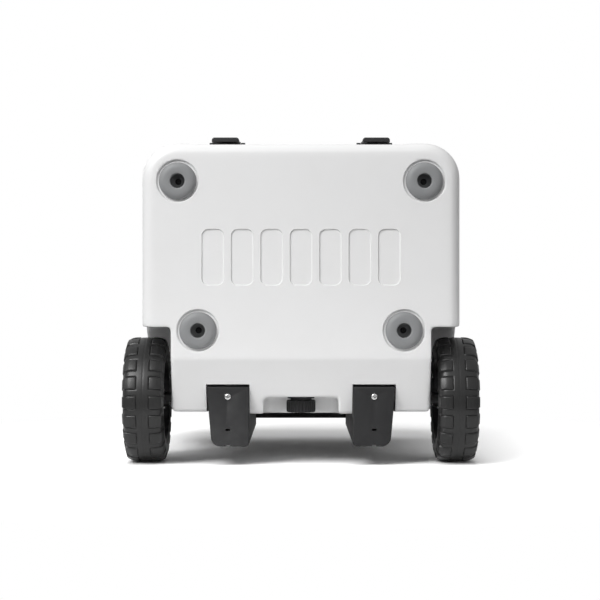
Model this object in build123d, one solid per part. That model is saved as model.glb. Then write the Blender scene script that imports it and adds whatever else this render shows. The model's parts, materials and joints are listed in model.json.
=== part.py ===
from build123d import *
import os

# A hard-sided wheeled cooler, in millimetres. It stands upright on four feet.
# +Z is up, the front faces -Y, and X is to the right when facing the front.
# The origin is on the floor at the middle of the cooler's footprint.

# ---- Driving dimensions -------------------------------------------------
WALL = 4.0  # moulded skin
BODY_BOTTOM = 5.0
BODY_TOP = 440.0
BODY_LOW = (219.0, -201.3, 169.0)  # half width, front and back at the bottom
BODY_HIGH = (236.0, -229.0, 188.0)  # the same at the rim
BODY_CORNER = 48.0
BODY_EDGE = 15.0
RIM_STEP = 4.0
RIM_START = 403.0
SLOPE_START = 89.5  # the back of the underside rises from here
SLOPE_RISE = 35.0
SLOPE_RUN = 81.0
PANEL_X = 142.0  # half width of the sunk front panel
PANEL_DEEP = 1.3
PANEL_TOP = 352.0
SPINE_OUT = 2.8  # the back stands out this much between the rails
SPINE_TOP = 392.0

CAVITY_FLOOR = 52.0
CAVITY_LOW = (178.0, -158.0, 108.0)
CAVITY_HIGH = (194.0, -187.0, 128.0)
CAVITY_CORNER = 34.0
BUMP_X = 141.0  # liner steps round the wheel wells
BUMP_Y = 12.0
BUMP_TOP = 236.0

LID_BOTTOM = 443.0
LID_TOP = 528.0
LID_LOW = (240.0, -234.0, 192.0)
LID_HIGH = (233.0, -226.0, 188.5)
LID_CORNER = 52.0
PLUG_BOTTOM = 418.0
PLUG_LOW = (186.0, -180.0, 120.0)
PLUG_HIGH = (188.5, -182.0, 122.5)

AXLE_Y = 155.8
AXLE_Z = 92.0
WHEEL_X = 219.0  # middle of the tread
WHEEL_R = 88.2
TYRE_BORE = 63.0
TREAD_PADS = 20
PAD_GAP = 10.5
WELL_X = 179.5
WELL_R = 104.0
SHAFT_R = 6.0
BUSH_R = 9.0
RUN_GAP = 0.05

RAIL_X = 101.6
RAIL_IN = 72.1
RAIL_OUT_FRONT = 131.1
RAIL_OUT_BACK = 124.0
RAIL_FOOT_Y = 134.8
RAIL_FRONT = 160.0
RAIL_BACK = 217.5
RAIL_BOTTOM = 22.0
RAIL_FOOT_TOP = 60.0
RAIL_TOP = 404.0
TUBE_Y = 197.0
TUBE_ONE_R = 11.0
TUBE_TWO_R = 8.0
SLIDE_GAP = 0.4

FOOT_SPOTS = ((170.0, -149.5), (142.0, 56.5))
FOOT_R = 25.75
FOOT_HOLE_R = 10.0
FOOT_CUP_R = 12.5  # the foot's hollow stem
FOOT_CUP_TOP = 27.0
FOOT_POCKET_R = 28.4
FOOT_TOP = 8.0

NOTCH_X = 52.0
NOTCH_Y = 149.5
NOTCH_TOP = 88.0
DRAIN_Z = 65.0
DRAIN_R = 12.0
DRAIN_BORE = 9.5
PLUG_CAP_R = 20.5
PLUG_END = 172.5

HINGE_Y = 190.0
HINGE_Z = 447.0
HINGE_X = (141.0, 185.0)
HINGE_R = 6.5
HINGE_PIN_R = 2.5
HINGE_PLATE = (186.0, 191.0)  # front and back of both plates

LATCH_X = 121.4
LATCH_W = 43.8
LATCH_Y = -240.5
LATCH_Z = 470.0
LATCH_R = 6.5
LATCH_EAR_R = 5.0
LATCH_FRONT = -247.0
LATCH_BOTTOM = 392.0
LATCH_PIN_R = 2.5


# ---- Small helpers ------------------------------------------------------
def block(x, y, z):
    """A box given by its (low, high) pair on each axis."""
    size = Box(x[1] - x[0], y[1] - y[0], z[1] - z[0])
    return Pos((x[0] + x[1]) / 2, (y[0] + y[1]) / 2, (z[0] + z[1]) / 2) * size


def rod_x(radius, x0, x1, y, z):
    return Pos((x0 + x1) / 2, y, z) * Rot(0, 90, 0) * Cylinder(radius, x1 - x0)


def rod_y(radius, y0, y1, x, z):
    return Pos(x, (y0 + y1) / 2, z) * Rot(90, 0, 0) * Cylinder(radius, y1 - y0)


def rod_z(radius, z0, z1, x, y):
    return Pos(x, y, (z0 + z1) / 2) * Cylinder(radius, z1 - z0)


def section(z, sizes, corner, grow=0.0):
    """A rounded rectangle at height z from (half width, front, back)."""
    half, front, back = sizes
    outline = RectangleRounded(2 * (half + grow), back - front + 2 * grow, corner + grow)
    return Pos(0, (front + back) / 2, z) * outline


def tapered(z0, low, z1, high, corner, grow=0.0):
    """A block with flat drafted sides and rounded upright corners."""
    half0, front0, back0 = low[0] + grow, low[1] - grow, low[2] + grow
    half1, front1, back1 = high[0] + grow, high[1] - grow, high[2] + grow
    across = Polygon((-half0, z0), (half0, z0), (half1, z1), (-half1, z1), align=None)
    along = Polygon((front0, z0), (back0, z0), (back1, z1), (front1, z1), align=None)
    form = extrude(Plane.XZ * across, amount=400, both=True)
    form = form & extrude(Plane.YZ * along, amount=400, both=True)
    return fillet(form.edges().group_by(Axis.Z)[1], corner + grow)


def flip(shape):
    """The left-hand twin of a right-hand piece."""
    return mirror(shape, about=Plane.YZ)


def both_sides(shape):
    return shape + flip(shape)


# ---- Body ---------------------------------------------------------------
def outer_block(inset):
    form = tapered(BODY_BOTTOM + inset, BODY_LOW, BODY_TOP - inset, BODY_HIGH, BODY_CORNER, -inset)
    form = fillet(form.edges().group_by(Axis.Z)[0], BODY_EDGE - inset)
    rise = BODY_BOTTOM + inset * 1.1
    far = SLOPE_START + 3 * SLOPE_RUN
    wedge = Plane.YZ * Polygon(
        (SLOPE_START, rise),
        (far, rise + 3 * SLOPE_RISE),
        (far, -60),
        (SLOPE_START - 40, -60),
        (SLOPE_START - 40, rise),
        align=None,
    )
    return form - extrude(wedge, amount=300, both=True)


def side_line(low, high, z):
    """Where a drafted face of the body lies at height z."""
    return low + (high - low) * (z - BODY_BOTTOM) / (BODY_TOP - BODY_BOTTOM)


def front_panel(grow):
    """The shallow sunk panel on the front, open at the bottom edge."""
    at = [side_line(BODY_LOW[1], BODY_HIGH[1], z) + PANEL_DEEP + grow for z in (-10, PANEL_TOP)]
    top = PANEL_TOP + grow
    outline = Polygon((-320, -10), (at[0], -10), (at[1], top), (-320, top), align=None)
    return extrude(Plane.YZ * outline, amount=PANEL_X + grow, both=True)


def back_spine():
    """The part of the back between the rails, which stands out a little."""
    low = SLOPE_RISE + BODY_BOTTOM
    at = [side_line(BODY_LOW[2], BODY_HIGH[2], z) + SPINE_OUT for z in (low, SPINE_TOP)]
    tip = low + SPINE_OUT * SLOPE_RISE / SLOPE_RUN + 0.4
    outline = Polygon(
        (165, low + 6), (at[0] - SPINE_OUT - 1, low), (at[0], tip), (at[1], SPINE_TOP),
        (165, SPINE_TOP), align=None
    )
    return extrude(Plane.YZ * outline, amount=RAIL_IN - 0.6, both=True)


def rim_band():
    """The thicker band that runs round the top of the body."""
    face = section(RIM_START, BODY_HIGH, BODY_CORNER, RIM_STEP)
    band = extrude(face, amount=BODY_TOP - RIM_START)
    band = chamfer(band.edges().group_by(Axis.Z)[0], 5.5)
    return fillet(band.edges().group_by(Axis.Z)[-1], 3)


def wheel_well(grow):
    """Room for the right wheel, open below, behind and to the side."""
    x = (WELL_X - grow, 320)
    top = AXLE_Z + WELL_R + grow
    arch = rod_x(WELL_R + grow, x[0], x[1], AXLE_Y, AXLE_Z)
    lower = block(x, (AXLE_Y - WELL_R - grow, 320), (-20, AXLE_Z))
    behind = block(x, (AXLE_Y, 320), (AXLE_Z - 1, top))
    return arch + lower + behind


def rail_channel(grow):
    """The upright channel for the right handle rail, deeper at its foot."""
    x = (RAIL_IN - 0.6 - grow, RAIL_OUT_FRONT + 0.6 + grow)
    upper = block(x, (RAIL_FRONT - 0.5 - grow, 320), (0, BODY_TOP + 10))
    foot = block(x, (RAIL_FOOT_Y - 3.5 - grow, 320), (-20, RAIL_FOOT_TOP + 1 + grow))
    return upper + foot


def drain_notch(grow):
    form = block(
        (-NOTCH_X - grow, NOTCH_X + grow), (NOTCH_Y - grow, 320), (-20, NOTCH_TOP + grow)
    )
    top = form.edges().filter_by(Axis.Y).group_by(Axis.Z)[-1]
    return fillet(top, 12)


def finger_pocket(grow):
    return block((-80 - grow, 80 + grow), (172 - grow, 320), (392 - grow, BODY_TOP + 10))


def front_grip(grow):
    """A hand hold moulded under the rim at the front."""
    form = block((-62 - grow, 62 + grow), (-320, -206 + grow), (362 - grow, 398 + grow))
    return fillet(form.edges().filter_by(Axis.Y), 12)


def foot_seats(grow):
    """The shallow seat and the deep well of each foot."""
    seats = [rod_z(FOOT_POCKET_R + grow, -5, FOOT_TOP + grow, x, y) for x, y in foot_places()]
    wells = [
        rod_z(FOOT_CUP_R + 0.3 + grow, -5, FOOT_CUP_TOP + 0.3 + grow, x, y)
        for x, y in foot_places()
    ]
    return Part() + seats + wells


def outer_cuts(grow):
    cuts = both_sides(wheel_well(grow)) + both_sides(rail_channel(grow)) + foot_seats(grow)
    cuts = cuts + drain_notch(grow) + finger_pocket(grow) + front_grip(grow)
    return cuts + front_panel(grow)


def cavity(grow):
    floor = CAVITY_FLOOR - grow
    form = tapered(floor, CAVITY_LOW, BODY_TOP + 1, CAVITY_HIGH, CAVITY_CORNER, grow)
    form = fillet(form.edges().group_by(Axis.Z)[0], 16)
    bump = block((BUMP_X + grow, 320), (BUMP_Y + grow, 320), (0, BUMP_TOP - grow))
    return form - both_sides(bump)


def pocket_row():
    """Seven equal shallow stiffening pockets across the underside."""
    pocket = Box(30, 77, 4)
    pocket = fillet(pocket.edges().filter_by(Axis.Z), 9)
    return [Pos((i - 3) * 40.5, -44.6, BODY_BOTTOM) * pocket for i in range(7)]


def foot_places():
    return [(side * x, y) for x, y in FOOT_SPOTS for side in (1, -1)]


def body_pockets():
    """Seats for the hinge plates and latch keepers."""
    hinge = block((HINGE_X[0] - 0.4, HINGE_X[1] + 0.4), (HINGE_PLATE[0], 220), (396, 441))
    keeper = block((LATCH_X - 20, LATCH_X + 20), (-260, -229), (398, 414))
    return [both_sides(hinge), both_sides(keeper)]


def shanks():
    """Every screw shank and the drain tube, as cut from the body."""
    feet = [rod_z(2.2, FOOT_CUP_TOP, 38, x, y) for x, y in foot_places()]
    rail = rod_z(2.4, RAIL_FOOT_TOP, 74, RAIL_X, 148.5)
    axle = [rod_x(2.2, 168, WELL_X, y, z) for y, z in axle_screw_places()]
    hinge = [rod_y(1.8, 176, 186, x, 412) for x in (152, 174)]
    keeper = [rod_y(1.5, -229, -219, x, 406) for x in keeper_screw_places()]
    tube = rod_y(DRAIN_R, 100, NOTCH_Y, 0, DRAIN_Z)
    right = Part() + [rail] + axle + hinge + keeper
    return feet + [both_sides(right), tube]


def make_body():
    foam = outer_block(WALL) - cavity(WALL) - outer_cuts(WALL)
    shell = outer_block(0) + rim_band() + back_spine()
    shell = shell - cavity(0) - outer_cuts(0) - foam - pocket_row() - body_pockets()
    return shell - shanks(), foam - shanks()


# ---- Lid ----------------------------------------------------------------
def lid_form(inset):
    top = tapered(LID_BOTTOM + inset, LID_LOW, LID_TOP - inset, LID_HIGH, LID_CORNER, -inset)
    top = fillet(top.edges().group_by(Axis.Z)[-1], 16 - inset)
    bottom = PLUG_BOTTOM + inset
    plug = tapered(bottom, PLUG_LOW, LID_BOTTOM + 8, PLUG_HIGH, CAVITY_CORNER - 4, -inset)
    return top + plug


def lid_cuts(grow):
    """Seats for the hinges and latch brackets, and the recess the tow handle passes through."""
    x = (HINGE_X[0] - 0.4 - grow, HINGE_X[1] + 0.4 + grow)
    barrel = block(x, (HINGE_Y - HINGE_R - 0.7 - grow, 320), (440 - grow, 454.6 + grow))
    plate = block(x, (HINGE_PLATE[0] - grow, 320), (450, 484.4 + grow))
    half = bracket_half() + 0.4 + grow
    bracket = block((LATCH_X - half, LATCH_X + half), (-320, -228 + grow), (456 - grow, 484 + grow))
    recess = block((-134 - grow, 134 + grow), (182 - grow, 320), (400, 600))
    return both_sides(barrel + plate) + both_sides(bracket) + recess


def lid_shanks():
    hinge = [rod_y(1.8, 176, 186, x, 468) for x in (152, 174)]
    bracket = [rod_y(1.5, -228, -218, x, 479) for x in bracket_screw_places()]
    return both_sides(Part() + hinge + bracket)


def lid_panel():
    """A shallow sunk panel in the top of the lid."""
    panel = Pos(0, -19, LID_TOP) * Box(340, 290, 5)
    return fillet(panel.edges().filter_by(Axis.Z), 30)


def make_lid():
    foam = lid_form(WALL) - Pos(0, 0, -WALL) * lid_panel() - lid_cuts(WALL - 0.5)
    shell = lid_form(0) - lid_panel() - lid_cuts(0) - foam
    return shell - lid_shanks(), foam - lid_shanks()


def make_gasket():
    sizes = (200.0, -193.0, 134.0)
    outer = section(BODY_TOP + 0.2, sizes, 40, 6)
    inner = section(BODY_TOP + 0.2, sizes, 40, -4)
    ring = extrude(outer - inner, amount=LID_BOTTOM - BODY_TOP - 0.2)
    return fillet(ring.edges().group_by(Axis.Z)[0], 1)


# ---- Hinges (right-hand side) -------------------------------------------
def knuckle(x0, x1, bore):
    barrel = rod_x(HINGE_R, x0, x1, HINGE_Y, HINGE_Z)
    return barrel - rod_x(bore, x0 - 1, x1 + 1, HINGE_Y, HINGE_Z)


def make_hinge_base():
    plate = block(HINGE_X, HINGE_PLATE, (396.4, 438))
    plate = fillet(plate.edges().filter_by(Axis.X).group_by(Axis.Y)[-1], 1.5)
    plate = plate - [rod_y(1.8, 180, 200, x, 412) for x in (152, 174)]
    parts = [plate]
    for x0, x1 in ((141.0, 152.0), (174.0, 185.0)):
        arm = block((x0, x1), HINGE_PLATE, (430, HINGE_Z))
        arm = arm - rod_x(HINGE_PIN_R, x0 - 1, x1 + 1, HINGE_Y, HINGE_Z)
        parts += [knuckle(x0, x1, HINGE_PIN_R), arm]
    return Part() + parts


def make_hinge_leaf():
    plate = block(HINGE_X, HINGE_PLATE, (455, 484))
    plate = fillet(plate.edges().filter_by(Axis.X).group_by(Axis.Y)[-1], 1.5)
    plate = plate - [rod_y(1.8, 180, 200, x, 468) for x in (152, 174)]
    arm = block((152.6, 173.4), HINGE_PLATE, (HINGE_Z, 460))
    arm = arm - rod_x(HINGE_PIN_R + RUN_GAP, 150, 176, HINGE_Y, HINGE_Z)
    return plate + arm + knuckle(152.6, 173.4, HINGE_PIN_R + RUN_GAP)


def pan_screw_y(radius, x, z, seat, shank, depth, way):
    """A pan-head screw whose head sits outside the plane y = seat."""
    head = rod_y(radius, min(seat, seat + way * 2.4), max(seat, seat + way * 2.4), x, z)
    edge = head.edges().filter_by(GeomType.CIRCLE).sort_by(Axis.Y)
    head = fillet(edge[-1] if way > 0 else edge[0], 1.2)
    end = seat - way * depth
    return head + rod_y(shank, min(seat, end), max(seat, end), x, z)


def make_hinge_screws():
    low = [pan_screw_y(3.4, x, 412, HINGE_PLATE[1], 1.8, 15, 1) for x in (152, 174)]
    return both_sides(Part() + low)


def make_leaf_screws():
    high = [pan_screw_y(3.4, x, 468, HINGE_PLATE[1], 1.8, 15, 1) for x in (152, 174)]
    return both_sides(Part() + high)


# ---- Latches (right-hand side) ------------------------------------------
def bracket_half():
    return LATCH_W / 2 + 7.4


def bracket_screw_places():
    return (LATCH_X - 20, LATCH_X + 20)


def keeper_screw_places():
    return (LATCH_X - 12, LATCH_X + 12)


def make_latch():
    x = (LATCH_X - LATCH_W / 2, LATCH_X + LATCH_W / 2)
    plate = block(x, (LATCH_FRONT, LATCH_FRONT + 7), (LATCH_BOTTOM, LATCH_Z))
    plate = fillet(plate.edges().filter_by(Axis.Z).group_by(Axis.Y)[0], 4.5)
    plate = fillet(plate.edges().group_by(Axis.Z)[0], 2)
    barrel = rod_x(LATCH_R, x[0], x[1], LATCH_Y, LATCH_Z)
    lever = plate + barrel
    window = block((x[0] + 11, x[1] - 11), (-260, LATCH_FRONT + 2.5), (408, 446))
    window = fillet(window.edges().filter_by(Axis.Y), 5)
    lever = lever - window
    return lever - rod_x(LATCH_PIN_R + RUN_GAP, x[0] - 1, x[1] + 1, LATCH_Y, LATCH_Z)


def make_latch_bracket():
    x = (LATCH_X - bracket_half(), LATCH_X + bracket_half())
    parts = [block(x, (-232.6, -228), (456, 484))]
    for x0, x1 in ((x[0], x[0] + 6.8), (x[1] - 6.8, x[1])):
        ear = (LATCH_Z - LATCH_EAR_R, LATCH_Z + LATCH_EAR_R)
        parts.append(block((x0, x1), (LATCH_Y, -230), ear))
        parts.append(rod_x(LATCH_EAR_R, x0, x1, LATCH_Y, LATCH_Z))
    bracket = Part() + parts
    bracket = bracket - rod_x(LATCH_PIN_R, x[0] - 1, x[1] + 1, LATCH_Y, LATCH_Z)
    return bracket - [rod_y(1.5, -240, -226, x, 479) for x in bracket_screw_places()]


def make_bracket_screws():
    screws = [pan_screw_y(2.8, x, 479, -232.6, 1.5, 14, -1) for x in bracket_screw_places()]
    return both_sides(Part() + screws)


def make_keeper():
    form = block((LATCH_X - 20, LATCH_X + 20), (-238, -229), (398, 414))
    form = fillet(form.edges().filter_by(Axis.X).group_by(Axis.Y)[0], 2.5)
    return form - [rod_y(1.5, -240, -228, x, 406) for x in keeper_screw_places()]


# ---- Wheels (right-hand side) -------------------------------------------
def spun(points):
    """A solid turned about the axle from (distance from the tread's middle, radius) points."""
    face = Plane.XY * Polygon(*points, align=None)
    return Pos(WHEEL_X, AXLE_Y, AXLE_Z) * revolve(face, Axis.X, 360)


def mirrored(points):
    return points + [(-x, r) for x, r in reversed(points)]


def make_tyre():
    half = [(-27, TYRE_BORE), (-28.7, 69), (-28.4, 75), (-26.6, 80.5), (-23.5, 83.8), (-14, 86.4)]
    body = spun(mirrored(half + [(-4, 87.2)]))
    inner = spun(((-25.6, 79), (-25.6, 84.4), (-22.5, 86), (-8.6, WHEEL_R), (-8.6, 79)))
    outer = spun(((25.6, 79), (25.6, 84.4), (22.5, 86), (8.6, WHEEL_R), (8.6, 79)))
    step = 360 / TREAD_PADS
    slots = []
    for i in range(TREAD_PADS):
        slot = Pos(WHEEL_X, 0, WHEEL_R) * Box(70, PAD_GAP, 40)
        slots.append(Pos(0, AXLE_Y, AXLE_Z) * Rot((i + 0.5) * step, 0, 0) * slot)
    pads = inner + outer - slots
    return body + pads


def make_rim():
    barrel = spun(
        ((-27, 57), (-27, TYRE_BORE), (27, TYRE_BORE), (27, 57), (5.5, 55), (-0.5, 55))
    )
    web = spun(((-8.5, 17), (-8.5, 57), (-1.5, 57), (1.5, 17)))
    boss = spun(
        ((-16.5, BUSH_R), (-16.5, 19), (27.5, 19), (27.5, 12.5), (23.5, 12.5), (23.5, BUSH_R))
    )
    window = Pos(WHEEL_X - 3.5, 0, 38) * Rot(0, 90, 0) * Cylinder(11.5, 30)
    holes = [Pos(0, AXLE_Y, AXLE_Z) * Rot(i * 60, 0, 0) * window for i in range(6)]
    return barrel + (web - holes) + boss


def make_bushing():
    x = (WHEEL_X - 16.5, WHEEL_X + 23.5)
    sleeve = rod_x(BUSH_R, x[0], x[1], AXLE_Y, AXLE_Z)
    return sleeve - rod_x(SHAFT_R + RUN_GAP, x[0] - 1, x[1] + 1, AXLE_Y, AXLE_Z)


def make_hub_cap():
    cap = rod_x(19, WHEEL_X + 27.5, WHEEL_X + 31, AXLE_Y, AXLE_Z)
    return fillet(cap.edges().filter_by(GeomType.CIRCLE).sort_by(Axis.X)[-1], 2)


def axle_screw_places():
    return [(AXLE_Y + dy, AXLE_Z + dz) for dy in (-32, 4) for dz in (-20, 20)]


def make_axle():
    plate = block((WELL_X, WELL_X + 4), (AXLE_Y - 41, AXLE_Y + 13), (AXLE_Z - 29, AXLE_Z + 29))
    plate = fillet(plate.edges().filter_by(Axis.X), 8)
    shoulder = rod_x(10, WELL_X + 3, WHEEL_X - 19.7, AXLE_Y, AXLE_Z)
    shaft = rod_x(SHAFT_R, WHEEL_X - 19.7, WHEEL_X + 26.3, AXLE_Y, AXLE_Z)
    axle = plate + shoulder + shaft
    return axle - [rod_x(2.2, WELL_X - 1, WELL_X + 5, y, z) for y, z in axle_screw_places()]


def make_axle_screws():
    parts = []
    for y, z in axle_screw_places():
        head = rod_x(4.6, WELL_X + 4, WELL_X + 6.8, y, z)
        head = fillet(head.edges().filter_by(GeomType.CIRCLE).sort_by(Axis.X)[-1], 1.4)
        parts.append(head + rod_x(2.2, 168, WELL_X + 4, y, z))
    return both_sides(Part() + parts)


def ring_x(x0, x1, outer, inner):
    return rod_x(outer, x0, x1, AXLE_Y, AXLE_Z) - rod_x(inner, x0 - 1, x1 + 1, AXLE_Y, AXLE_Z)


# ---- Handle (right-hand side) -------------------------------------------
def rail_width_at(y):
    """Where the tapering outer side of a rail lies at a given depth."""
    slant = (RAIL_OUT_FRONT - RAIL_OUT_BACK) / (RAIL_BACK - RAIL_FOOT_Y)
    return RAIL_OUT_FRONT - slant * (y - RAIL_FOOT_Y)


def make_rail():
    at_front = rail_width_at(RAIL_FRONT)
    column = Polygon(
        (RAIL_IN, RAIL_FRONT),
        (at_front, RAIL_FRONT),
        (RAIL_OUT_BACK, RAIL_BACK),
        (RAIL_IN, RAIL_BACK),
        align=None,
    )
    foot = Polygon(
        (RAIL_IN, RAIL_FOOT_Y),
        (RAIL_OUT_FRONT, RAIL_FOOT_Y),
        (at_front, RAIL_FRONT),
        (RAIL_IN, RAIL_FRONT),
        align=None,
    )
    form = extrude(Pos(0, 0, RAIL_BOTTOM) * column, amount=RAIL_TOP - RAIL_BOTTOM)
    back = form.edges().filter_by(Axis.Z).group_by(Axis.Y)[-1].sort_by(Axis.X)
    form = fillet(back[-1], 13)
    back = form.edges().filter_by(Axis.Z).sort_by(Axis.Y).sort_by(Axis.X)[:2]
    form = fillet(back.sort_by(Axis.Y)[-1], 4)
    form = form + extrude(Pos(0, 0, RAIL_BOTTOM) * foot, amount=RAIL_FOOT_TOP - RAIL_BOTTOM)
    form = chamfer(form.edges().group_by(Axis.Z)[0], 1)
    form = form - block((RAIL_X - 3, RAIL_X + 3), (RAIL_BACK - 2, 230), (0, RAIL_TOP + 1))
    form = form - rod_z(TUBE_ONE_R + SLIDE_GAP, RAIL_BOTTOM + 12, RAIL_TOP + 1, RAIL_X, TUBE_Y)
    slot = block((RAIL_X - 3, RAIL_X + 3), (193, 196), (RAIL_BOTTOM - 1, RAIL_BOTTOM + 13))
    return form - slot - rod_z(2.4, RAIL_BOTTOM - 1, RAIL_FOOT_TOP + 1, RAIL_X, 148.5)


def make_bezel():
    """The guide collar on top of a rail."""
    form = Pos(98.2, 188.5, RAIL_TOP + 3) * Box(50, 54, 6)
    form = fillet(form.edges().filter_by(Axis.Z), 10)
    form = fillet(form.edges().group_by(Axis.Z)[-1], 2)
    return form - rod_z(TUBE_ONE_R + SLIDE_GAP, RAIL_TOP - 1, RAIL_TOP + 8, RAIL_X, TUBE_Y)


def make_rail_screws():
    head = rod_z(4.75, RAIL_BOTTOM - 2.6, RAIL_BOTTOM, RAIL_X, 148.5)
    head = fillet(head.edges().filter_by(GeomType.CIRCLE).sort_by(Axis.Z)[0], 1.4)
    return both_sides(head + rod_z(2.4, RAIL_BOTTOM, 74, RAIL_X, 148.5))


def tube(outer, inner, z0, z1):
    return rod_z(outer, z0, z1, RAIL_X, TUBE_Y) - rod_z(inner, z0 - 1, z1 + 1, RAIL_X, TUBE_Y)


def make_tube_one():
    return tube(TUBE_ONE_R, TUBE_TWO_R + SLIDE_GAP, 40, RAIL_TOP + 6.5)


def make_collar():
    return tube(14, TUBE_TWO_R + SLIDE_GAP, RAIL_TOP + 6.5, RAIL_TOP + 11.5)


def make_tube_two():
    return tube(TUBE_TWO_R, TUBE_TWO_R - 1.6, 44, 432)


def make_grip():
    bar = block((-90, 90), (192, 206), (418, 441))
    bar = fillet(bar.edges().filter_by(Axis.X), 5)
    end = block((RAIL_X - 16, RAIL_X + 16), (185, 209), (417, 441))
    end = fillet(end.edges().filter_by(Axis.Z), 7)
    end = fillet(end.edges().group_by(Axis.Z)[-1], 3)
    end = end - rod_z(TUBE_TWO_R, 410, 432, RAIL_X, TUBE_Y)
    return bar + both_sides(end) - block((-20.4, 20.4), (194.6, 203.4), (430, 450))


def make_button():
    form = block((-20, 20), (195, 203), (434.5, 442.5))
    return fillet(form.edges().group_by(Axis.Z)[-1], 1)


# ---- Feet and drain -----------------------------------------------------
def make_foot(x, y):
    ring = rod_z(FOOT_R, 0, FOOT_TOP, x, y) + rod_z(FOOT_CUP_R, 4, FOOT_CUP_TOP, x, y)
    ring = ring - rod_z(FOOT_HOLE_R, -1, FOOT_CUP_TOP - 3, x, y)
    ring = ring - rod_z(2.2, FOOT_TOP, FOOT_CUP_TOP + 1, x, y)
    rims = ring.edges().group_by(Axis.Z)[0].sort_by(SortBy.RADIUS)
    ring = fillet(rims[-1], 5.5)
    rims = ring.edges().group_by(Axis.Z)[0].sort_by(SortBy.RADIUS)
    return fillet(rims[0], 1.5)


def make_foot_screws():
    parts = []
    for x, y in foot_places():
        head = rod_z(4.4, FOOT_CUP_TOP - 5.4, FOOT_CUP_TOP - 3, x, y)
        head = fillet(head.edges().filter_by(GeomType.CIRCLE).sort_by(Axis.Z)[0], 1.2)
        parts.append(head + rod_z(2.2, FOOT_CUP_TOP - 3, 38, x, y))
    return Part() + parts


def make_spout():
    flange = rod_y(19, NOTCH_Y, NOTCH_Y + 3.5, 0, DRAIN_Z)
    sleeve = rod_y(DRAIN_R, 106, NOTCH_Y, 0, DRAIN_Z)
    return flange + sleeve - rod_y(DRAIN_BORE, 100, 160, 0, DRAIN_Z)


def make_drain_seal():
    ring = rod_y(15, 153.4, 155, 0, DRAIN_Z)
    return ring - rod_y(DRAIN_BORE, 150, 160, 0, DRAIN_Z)


def make_drain_plug():
    cap = rod_y(PLUG_CAP_R, 155.1, PLUG_END, 0, DRAIN_Z)
    cap = fillet(cap.edges().filter_by(GeomType.CIRCLE).sort_by(Axis.Y)[-1], 2)
    groove = Pos(PLUG_CAP_R + 0.6, 167, 0) * Rot(90, 0, 0) * Cylinder(1.8, 17)
    cuts = [Pos(0, 0, DRAIN_Z) * Rot(0, i * 15, 0) * groove for i in range(24)]
    stem = rod_y(DRAIN_BORE - SLIDE_GAP, 118, 155.1, 0, DRAIN_Z)
    return cap - cuts + stem


# ---- Write every piece --------------------------------------------------
def save(shape, node):
    export_step(shape, "parts/" + node + ".step")


def save_pair(shape, node):
    save(shape, node + "_right")
    save(flip(shape), node + "_left")


os.makedirs("parts", exist_ok=True)

body_shell, body_foam = make_body()
save(body_shell, "body_shell")
save(body_foam, "body_foam")
lid_shell, lid_foam = make_lid()
save(lid_shell, "lid_shell")
save(lid_foam, "lid_foam")
save(make_gasket(), "lid_gasket")

save_pair(make_hinge_base(), "hinge_base")
save_pair(make_hinge_leaf(), "hinge_leaf")
save_pair(rod_x(HINGE_PIN_R, HINGE_X[0], HINGE_X[1], HINGE_Y, HINGE_Z), "hinge_pin")
save(make_hinge_screws(), "hinge_base_screws")
save(make_leaf_screws(), "hinge_leaf_screws")

save_pair(make_latch(), "latch_lever")
save_pair(make_latch_bracket(), "latch_bracket")
latch_ends = (LATCH_X - bracket_half(), LATCH_X + bracket_half())
save_pair(rod_x(LATCH_PIN_R, latch_ends[0], latch_ends[1], LATCH_Y, LATCH_Z), "latch_pin")
save_pair(make_keeper(), "latch_keeper")
save(make_bracket_screws(), "latch_bracket_screws")
keeper_pins = [rod_y(1.5, -237, -219, x, 406) for x in keeper_screw_places()]
save(both_sides(Part() + keeper_pins), "latch_keeper_screws")

save_pair(make_tyre(), "tyre")
save_pair(make_rim(), "wheel_rim")
save_pair(make_bushing(), "wheel_bushing")
save_pair(make_hub_cap(), "hub_cap")
save_pair(make_axle(), "axle_stub")
save_pair(ring_x(WHEEL_X - 19.5, WHEEL_X - 16.9, 11, SHAFT_R), "axle_washer")
save_pair(ring_x(WHEEL_X + 24.1, WHEEL_X + 26.1, 10, SHAFT_R), "axle_clip")
save(make_axle_screws(), "axle_screws")

save_pair(make_rail(), "rail_housing")
save_pair(make_bezel(), "rail_bezel")
save(make_rail_screws(), "rail_screws")
save_pair(make_tube_one(), "handle_tube_lower")
save_pair(make_collar(), "handle_collar")
save_pair(make_tube_two(), "handle_tube_upper")
save(make_grip(), "handle_grip")
save(make_button(), "release_button")

for end, (x, y) in zip(("front", "rear"), FOOT_SPOTS):
    save(make_foot(x, y), "foot_" + end + "_right")
    save(make_foot(-x, y), "foot_" + end + "_left")
save(make_foot_screws(), "foot_screws")
save(make_spout(), "drain_spout")
save(make_drain_seal(), "drain_seal")
save(make_drain_plug(), "drain_plug")
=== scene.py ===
# %% [markdown]
# # A hard cooler on wheels
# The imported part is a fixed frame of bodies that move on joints. This lesson loads that frame and
# dresses it piece by piece. Every length is in metres, and +Z is up with the front facing -Y.

# %% Load the frame
import json
import math

import bmesh
import bpy
from mathutils import Matrix, Vector

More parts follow.
